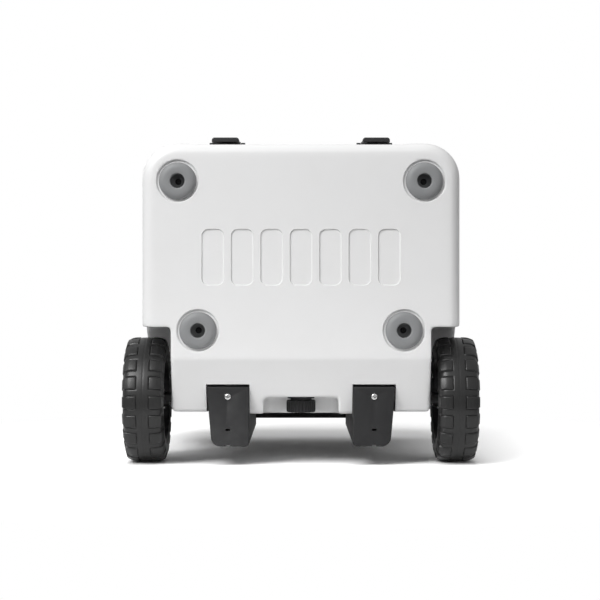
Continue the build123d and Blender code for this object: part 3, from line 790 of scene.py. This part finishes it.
def lid_ring(z, inset):
    half, front, back = between(LID_LOW, LID_HIGH, (z - LID_BOTTOM) / (LID_TOP - LID_BOTTOM))
    return ring_points(half - inset, front + inset, back - inset, LID_CORNER - inset, z)


lid_rings = []
for z, out in ((PLUG_BOTTOM, -1), (PLUG_BOTTOM + 3, 0)):
    half, front, back = between(PLUG_LOW, PLUG_HIGH, (z - PLUG_BOTTOM) / PLUG_REACH)
    lid_rings.append(ring_points(half + out, front - out, back + out, PLUG_CORNER, z))
lid_rings.append(ring_points(188.0, -181.6, 122.0, PLUG_CORNER, LID_BOTTOM))
lid_rings += [lid_ring(LID_BOTTOM, 2.5), lid_ring(LID_BOTTOM + 2.5, 0)]
for step in range(7):
    angle = math.pi / 2 * (1 - step / 6)
    lid_rings.append(lid_ring(LID_TOP - LID_EDGE * (1 - math.cos(angle)), LID_EDGE * (1 - math.sin(angle))))
lid_tools = cutters("lid_tools")
add_cutter(lid_tools, prism(rounded((-170, 170), (-164, 126), 30), "Z", 525.5, 540))
add_cutter(lid_tools, block((-134, 134), (182, 320), (400, 600)))
lid_seats = cutters("lid_seats")
for x in both_ways(HINGE_SPAN):
    add_cutter(lid_seats, block(x, (182.8, 220), (440, 454.6)))
    add_cutter(lid_seats, block(x, (HINGE_SEAT_Y, 220), (450, 484.4)))
for x in both_ways(BRACKET_SPAN):
    add_cutter(lid_seats, block(x, (-260, -228), (456, 484)))
lid_mesh = cut(softened(cut(skin(lid_rings, "lid_form"), lid_tools), SQUARE, 4), lid_seats)
add_piece("lid_skin", lid_mesh, shell_white, "lid", ["lid_shell"], sharp=60)
print("lid faces:", len(lid_mesh.polygons))

# %% [markdown]
# ## Rim gasket
# A soft strip with a round bead runs round under the lid. It is a ring of small cross sections.

# %% Gasket
def bead_ring():
    profile = ((-4, 0.35), (-2.5, 0.0), (2.5, 0.0), (5.0, 0.2), (6, 1.0), (6, 2.8), (-4, 2.8))
    rings = []
    for out, up in profile:
        rings.append(ring_points(200.0 + out, -193.0 - out, 134.0 + out, 40 + out, BODY_TOP + 0.2 + up, 10))
    bm = bmesh.new()
    loops = [[bm.verts.new(p) for p in ring] for ring in rings]
    count = len(loops[0])
    for k in range(len(loops)):
        a, b = loops[k], loops[(k + 1) % len(loops)]
        for i in range(count):
            j = (i + 1) % count
            bm.faces.new((a[i], a[j], b[j], b[i]))
    return mesh_from(bm, "gasket")


add_piece("rim_gasket", bead_ring(), gasket_rubber, "lid", ["lid_gasket"])
print("gasket placed")

# %% [markdown]
# ## Turned pieces
# Feet, screw heads, plug and seal are all turned shapes. A profile of (radius, height) points is swept
# round an axis. A second function can push each point in or out by its angle, which cuts ribs into the
# plug and pads into the tyres.

# %% Turning helper
def turned(profile, steps=96, push=None, closed=True):
    """A mesh swept round Z from (radius, height) points in mm. push(angle, radius, height) moves a point."""
    bm = bmesh.new()
    loops = []
    for step in range(steps):
        angle = 2 * math.pi * step / steps
        loop = []
        for radius, height in profile:
            r, h = push(angle, radius, height) if push else (radius, height)
            loop.append(bm.verts.new((r * math.cos(angle) * MM, r * math.sin(angle) * MM, h * MM)))
        loops.append(loop)
    last = len(profile) if closed else len(profile) - 1
    for step in range(steps):
        a, b = loops[step], loops[(step + 1) % steps]
        for k in range(last):
            m = (k + 1) % len(profile)
            bm.faces.new((a[k], a[m], b[m], b[k]))
    if not closed:
        bmesh.ops.remove_doubles(bm, verts=bm.verts, dist=1e-7)
    return mesh_from(bm, "turned")


def placed(mesh, turn, place):
    """The mesh turned and moved to its place, given in mm."""
    mesh.transform(Matrix.Translation(Vector(place) * MM) @ turn.to_4x4())
    return mesh


def joined(meshes, name):
    bm = bmesh.new()
    for mesh in meshes:
        bm.from_mesh(mesh)
    whole = bpy.data.meshes.new(name)
    bm.to_mesh(whole)
    bm.free()
    return whole


AS_IS = Matrix.Identity(3)
ALONG_X = Matrix.Rotation(math.pi / 2, 3, "Y")
ALONG_Y = Matrix.Rotation(-math.pi / 2, 3, "X")
print("turning helpers ready")

# %% [markdown]
# ### Feet
# Each foot is a grey rubber ring with a hollow stem. It is almost flat where it stands, with a broad
# rounded shoulder outside and a small one at the hole. A screw at the end of the stem holds it.

# %% Four feet
foot_profile = [
    (2.2, 24.0), (9.4, 24.0), (10.0, 23.4), (10.0, 1.4), (10.2, 0.7), (10.7, 0.2), (11.6, 0.0), (17.0, 0.0),
    (19.4, 0.25), (21.4, 0.9), (23.2, 2.0), (24.6, 3.4), (25.4, 4.9), (25.75, 6.2), (25.75, 8.0),
    (12.5, 8.0), (12.5, 27.0), (2.2, 27.0),
]
foot_names = ("front_right", "front_left", "rear_right", "rear_left")
for (cx, cy), where in zip(FOOT_SPOTS, foot_names):
    ring = placed(turned(foot_profile), AS_IS, (cx, cy, 0))
    add_piece("rubber_" + where, ring, foot_rubber, "cooler_body", ["foot_" + where], sharp=50)
print("feet placed at", FOOT_SPOTS)

# %% [markdown]
# ### Screws
# Pan-head screws hold the rails, hinges, brackets, feet and axles. Those of the feet are black, a
# colour that paints the deep shade at the bottom of each foot's hole. The head is a low dome with a
# cross pressed into it. The dome is a disc of points, and the points inside the cross are lower.

# %% Pan-head screws
def pan_head(radius, height, cross=0.5, rings=14, steps=64):
    """A head that rises along +Z from its seat at z = 0."""
    def dome(r):
        edge = min(1.0, r / radius)
        return height * (1 - edge ** 4) ** 0.5

    def depth(x, y):
        arm = radius * cross
        width = radius * 0.13
        def slot(along, across):
            end = min(1.0, max(0.0, (arm - abs(along)) / 0.25))
            return end * min(1.0, max(0.0, (width - abs(across)) / 0.25 + 0.5))

        return height * 0.6 * max(slot(x, y), slot(y, x))

    bm = bmesh.new()
    middle = bm.verts.new((0, 0, (height - depth(0, 0)) * MM))
    loops = []
    for k in range(1, rings + 1):
        r = radius * (k / rings) ** 0.8
        loop = []
        for step in range(steps):
            angle = 2 * math.pi * step / steps
            x, y = r * math.cos(angle), r * math.sin(angle)
            loop.append(bm.verts.new((x * MM, y * MM, (dome(r) - depth(x, y)) * MM)))
        loops.append(loop)
    for i in range(steps):
        bm.faces.new((middle, loops[0][i], loops[0][(i + 1) % steps]))
    for a, b in zip(loops, loops[1:]):
        for i in range(steps):
            j = (i + 1) % steps
            bm.faces.new((a[i], b[i], b[j], a[j]))
    bm.faces.new(loops[-1][::-1])
    return mesh_from(bm, "pan_head")


DOWN = Matrix.Rotation(math.pi, 3, "X")
BACKWARDS = Matrix.Rotation(-math.pi / 2, 3, "X")
FORWARDS = Matrix.Rotation(math.pi / 2, 3, "X")
SIDES = {1: Matrix.Rotation(math.pi / 2, 3, "Y"), -1: Matrix.Rotation(-math.pi / 2, 3, "Y")}


def screws(name, radius, height, turn, places, node, body, look=(screw_steel, "screw_steel")):
    heads = []
    for number, place in enumerate(places):
        twist = Matrix.Rotation(0.4 + 0.7 * number, 3, "Z")
        heads.append(placed(pan_head(radius, height), turn @ twist, place))
    add_piece(name, joined(heads, name), look[0], body, [node], sharp=30)
    return len(heads)


made = screws(
    "rail_screw_heads", 4.75, 2.6, DOWN, [(x, 148.5, 22) for x in (101.6, -101.6)],
    "rail_screws", "cooler_body",
)
# The black of the foot screws is painted shade: it darkens the bottom of each foot's hole.
made += screws(
    "foot_screw_heads", 4.4, 2.4, DOWN, [(x, y, 24) for x, y in FOOT_SPOTS],
    "foot_screws", "cooler_body", look=(rim_black, "rim_black"),
)
made += screws(
    "hinge_base_screw_heads", 3.4, 2.4, BACKWARDS, [(s * x, 191, 412) for s in (1, -1) for x in (152, 174)],
    "hinge_base_screws", "cooler_body",
)
made += screws(
    "hinge_leaf_screw_heads", 3.4, 2.4, BACKWARDS, [(s * x, 191, 468) for s in (1, -1) for x in (152, 174)],
    "hinge_leaf_screws", "lid",
)
made += screws(
    "bracket_screw_heads", 2.8, 2.4, FORWARDS,
    [(s * x, -232.6, 479) for s in (1, -1) for x in (101.4, 141.4)],
    "latch_bracket_screws", "lid",
)
axle_heads = []
for side, turn in SIDES.items():
    for y in (AXLE_Y - 32, AXLE_Y + 4):
        for z in (AXLE_Z - 20, AXLE_Z + 20):
            axle_heads.append(placed(pan_head(4.6, 2.8), turn, (side * 183.5, y, z)))
add_piece(
    "axle_screw_heads", joined(axle_heads, "axle_screw_heads"), screw_steel,
    "cooler_body", ["axle_screws"], sharp=30,
)
print("screw heads:", made + len(axle_heads))

# %% [markdown]
# ## Tyres
# A solid tyre has a smooth crowned band in the middle and a row of raised pads on each shoulder. The
# outline is swept round the axle in fine steps, and each point near the tread is pushed out where a pad
# is. A pad has a soft edge and a fine groove round it, so its outline reads as a thin dark line. It goes
# on over the shoulder as a lug on the side wall. Four bolts clamp the two halves of each hub.

# %% Tread
PADS = 20
PAD_HALF = 8.7
WHEEL_X = 219.0


def soft_step(value, low, high):
    share = min(1.0, max(0.0, (value - low) / (high - low)))
    return share * share * (3 - 2 * share)


def along_pad(angle, radius):
    """Distance along the tread from the middle of the nearest pad."""
    pitch = 2 * math.pi / PADS
    return abs((angle / pitch + 0.5) % 1.0 - 0.5) * pitch * radius


def pad_height(angle, across):
    """How far the tread stands up, across being the distance from the middle of the tyre."""
    gap = min(abs(across) - 9.3, PAD_HALF - along_pad(angle, 88.0))
    rise = soft_step(gap, -0.1, 0.7)
    groove = soft_step(gap, -1.6, -0.6) * (1 - soft_step(gap, -0.4, 0.3))
    return (0.3 + 0.045 * abs(across)) * rise - 0.9 * groove


def tyre_profile():
    """(distance from the middle, radius) points round the tyre's section."""
    wall = [(27.0, 63.0), (27.9, 64.5), (28.4, 68), (28.2, 72), (27.4, 75.5), (26.8, 77.5), (26.1, 79.3)]
    wall += [(25.6, 80.6), (25.1, 81.8)]
    crown = []
    count = 68
    for i in range(count + 1):
        across = 24.7 * math.cos(math.pi * (i + 0.5) / (count + 1))
        share_out = abs(across) / 24.7
        radius = 87.9 - 2.0 * share_out ** 2 - 3.0 * share_out ** 8
        crown.append((across, radius - (0.25 if abs(across) < 0.5 else 0.0)))
    return [(-27.0, 63.0)] + wall + crown + [(-a, r) for a, r in reversed(wall[1:])]


def tyre(side):
    section = [(r, a) for a, r in tyre_profile()]

    def tread(angle, radius, height):
        lift = pad_height(angle, height) * soft_step(radius, 79.5, 82.0)
        lug = soft_step(PAD_HALF + 1.0 - along_pad(angle, 88.0), 0.0, 1.4)
        lug *= soft_step(radius, 71.0, 75.0) * (1 - soft_step(radius, 83.0, 85.5))
        return min(radius + lift, 88.2), height + math.copysign(1.5 * lug, height)

    mesh = turned(section, steps=480, push=tread)
    return placed(mesh, ALONG_X, (side * WHEEL_X, AXLE_Y, AXLE_Z))


for side, where in ((1, "right"), (-1, "left")):
    wheel = "wheel_" + where
    add_piece("tread_" + where, tyre(side), tyre_rubber, wheel, ["tyre_" + where], sharp=60)
    bolts = []
    for step in range(4):
        angle = math.radians(45 + 90 * step)
        place = (side * (WHEEL_X - 16.5), AXLE_Y + 17 * math.cos(angle), AXLE_Z + 17 * math.sin(angle))
        bolts.append(placed(pan_head(3.2, 7.0), SIDES[-side], place))
    bolt_mesh = joined(bolts, "hub_bolts")
    add_piece("hub_bolts_" + where, bolt_mesh, screw_steel, wheel, [], sharp=30)
print("tyres with", PADS, "pads a row")

# %% [markdown]
# ## Rounded copies
# Many pieces have the right shape in the frame but have knife edges. Each one is copied into a new
# mesh, its flat facets are merged, and its sharp edges are bevelled a little so that they catch the
# light as real moulded or turned edges do.

# %% Rounded copy helper
def rounded_copy(node, width, segments=2):
    """The node's mesh with its flat facets merged and its sharp edges bevelled."""
    bm = bmesh.new()
    bm.from_mesh(frame["nodes"][node].data)
    bmesh.ops.remove_doubles(bm, verts=bm.verts, dist=2e-6)
    bmesh.ops.dissolve_limit(bm, angle_limit=math.radians(1.0), verts=bm.verts, edges=bm.edges)
    limit = math.radians(32)
    edges = [e for e in bm.edges if len(e.link_faces) == 2 and e.calc_face_angle(0) > limit]
    bmesh.ops.bevel(
        bm, geom=edges, offset=width * MM, segments=segments, profile=0.5, affect="EDGES", clamp_overlap=True
    )
    bmesh.ops.triangulate(bm, faces=[f for f in bm.faces if len(f.verts) > 4])
    return mesh_from(bm, node)


def dress(node, piece, width, material, body):
    add_piece(piece, rounded_copy(node, width), material, body, [node], sharp=32)


for where in ("left", "right"):
    dress("rail_housing_" + where, "rail_" + where, 0.8, charcoal, "cooler_body")
    dress("rail_bezel_" + where, "bezel_" + where, 0.5, charcoal, "cooler_body")
    dress("hinge_base_" + where, "hinge_plate_" + where, 0.5, charcoal, "cooler_body")
    dress("hinge_leaf_" + where, "hinge_flap_" + where, 0.5, charcoal, "lid")
    dress("latch_lever_" + where, "lever_" + where, 0.9, charcoal, "latch_" + where)
    dress("latch_bracket_" + where, "bracket_" + where, 0.5, charcoal, "lid")
    dress("latch_keeper_" + where, "keeper_" + where, 0.5, charcoal, "cooler_body")
    dress("wheel_rim_" + where, "rim_" + where, 0.7, rim_black, "wheel_" + where)
    dress("hub_cap_" + where, "cap_" + where, 0.5, charcoal, "wheel_" + where)
    dress("handle_collar_" + where, "collar_" + where, 0.5, charcoal, "handle_lower")
    dress("axle_stub_" + where, "axle_" + where, 0.4, steel, "cooler_body")
dress("handle_grip", "grip_bar", 0.8, charcoal, "handle_upper")
dress("release_button", "button", 0.5, button_grey, "release_button")
print("rounded copies made")

# %% [markdown]
# ## Drain
# The plug's cap has a row of finger ribs. Its stem reaches into the spout in the recess.

# %% Drain plug, spout and seal
DRAIN_Z = 65.0


def ribs(angle, radius, height):
    if radius > 17 and 1.5 < height < 16.5:
        wave = 0.5 + 0.5 * math.cos(24 * angle)
        return radius - 1.5 * (1 - wave ** 0.6), height
    return radius, height


plug_profile = [
    (0.0, -37.1), (8.4, -37.1), (9.1, -36.4), (9.1, 0.0), (17.5, 0.0), (19.6, 0.4), (20.3, 1.4), (20.5, 2.2),
    (20.5, 6.0), (20.5, 10.0), (20.5, 14.0), (20.2, 16.0), (19.2, 17.1), (17.0, 17.4), (14.5, 17.4),
    (13.6, 16.4), (12.5, 16.0), (0.0, 16.0),
]
plug = placed(turned(plug_profile, 192, ribs, closed=False), ALONG_Y, (0, 155.1, DRAIN_Z))
add_piece("plug_cap", plug, charcoal, "drain_plug", ["drain_plug"], sharp=40)
dress("drain_spout", "spout", 0.4, charcoal, "cooler_body")
seal_profile = [(9.6, 0.2), (9.6, 1.4), (14.6, 1.4), (15.0, 1.0), (15.0, 0.4), (14.6, 0.0), (9.9, 0.0)]
seal = placed(turned(seal_profile), ALONG_Y, (0, 153.5, DRAIN_Z))
add_piece("seal_ring", seal, gasket_rubber, "drain_seal", ["drain_seal"])
print("drain placed")

# %% [markdown]
# ## Pieces kept from the frame
# Pins, tubes, washers, bushings and the foam already have the right shape. They keep their meshes and
# take a finish.

# %% Finishes for the kept pieces
kept = {
    "body_foam": foam_yellow, "lid_foam": foam_yellow, "latch_keeper_screws": screw_steel,
    "hinge_pin": steel, "latch_pin": steel, "axle_washer": steel, "axle_clip": steel,
    "wheel_bushing": nylon, "handle_tube_lower": tube_metal, "handle_tube_upper": tube_metal,
}
for start, material in kept.items():
    for node, piece in frame["nodes"].items():
        if node.startswith(start) and not piece.hide_render:
            piece.data.materials.clear()
            piece.data.materials.append(material)
plain = [n for n, o in frame["nodes"].items() if not o.hide_render and not any(n.startswith(k) for k in kept)]
print("nodes still plain:", plain)

# %% Finish
print("scene dressed")
